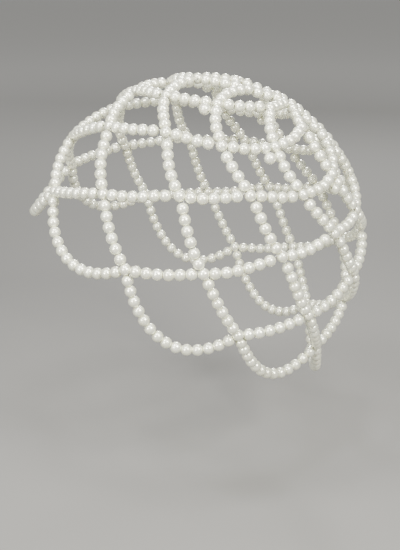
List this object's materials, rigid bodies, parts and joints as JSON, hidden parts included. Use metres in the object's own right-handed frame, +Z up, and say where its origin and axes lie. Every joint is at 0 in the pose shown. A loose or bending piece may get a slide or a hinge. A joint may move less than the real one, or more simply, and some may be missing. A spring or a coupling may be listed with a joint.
{
  "type": "pearl net bridal cap",
  "caption": "Netted bridal cap of threaded imitation pearls, with a scalloped rim and a small rosette behind the crown, worn over the hair.",
  "frame": {"origin": "top of the wearer's head, on the inside of the cap", "axes": "+Z up, -Y the wearer's front, +X the wearer's left"},
  "size_m": [0.1668, 0.1866, 0.1697],
  "materials": {
    "pearl": "pearl lacquer, satin gloss"
  },
  "bodies": {
    "root": {"rim_scallop_1": "pearl", "rim_scallop_2": "pearl", "rim_scallop_3": "pearl", "rim_scallop_4": "pearl", "rim_scallop_5": "pearl", "rim_scallop_6": "pearl", "rim_scallop_7": "pearl", "rim_scallop_8": "pearl", "round_1_loop_1": "pearl", "round_1_loop_2": "pearl", "round_1_loop_3": "pearl", "round_1_loop_4": "pearl", "round_1_loop_5": "pearl", "round_1_loop_6": "pearl", "round_1_loop_7": "pearl", "round_1_loop_8": "pearl", "round_2_loop_1": "pearl", "round_2_loop_2": "pearl", "round_2_loop_3": "pearl", "round_2_loop_4": "pearl", "round_2_loop_5": "pearl", "round_2_loop_6": "pearl", "round_2_loop_7": "pearl", "round_2_loop_8": "pearl", "round_3_loop_1": "pearl", "round_3_loop_2": "pearl", "round_3_loop_3": "pearl", "round_3_loop_4": "pearl", "round_3_loop_5": "pearl", "round_3_loop_6": "pearl", "round_3_loop_7": "pearl", "round_3_loop_8": "pearl", "round_4_loop_1": "pearl", "round_4_loop_2": "pearl", "round_4_loop_3": "pearl", "round_4_loop_4": "pearl", "round_4_loop_5": "pearl", "round_4_loop_6": "pearl", "round_4_loop_7": "pearl", "round_4_loop_8": "pearl", "round_5_loop_1": "pearl", "round_5_loop_2": "pearl", "round_5_loop_3": "pearl", "round_5_loop_4": "pearl", "round_5_loop_5": "pearl", "round_5_loop_6": "pearl", "round_5_loop_7": "pearl", "round_5_loop_8": "pearl", "round_6_loop_1": "pearl", "round_6_loop_2": "pearl", "round_6_loop_3": "pearl", "round_6_loop_4": "pearl", "round_6_loop_5": "pearl", "round_6_loop_6": "pearl", "round_6_loop_7": "pearl", "round_6_loop_8": "pearl", "crown_rosette": "pearl"}
  },
  "joints": []
}
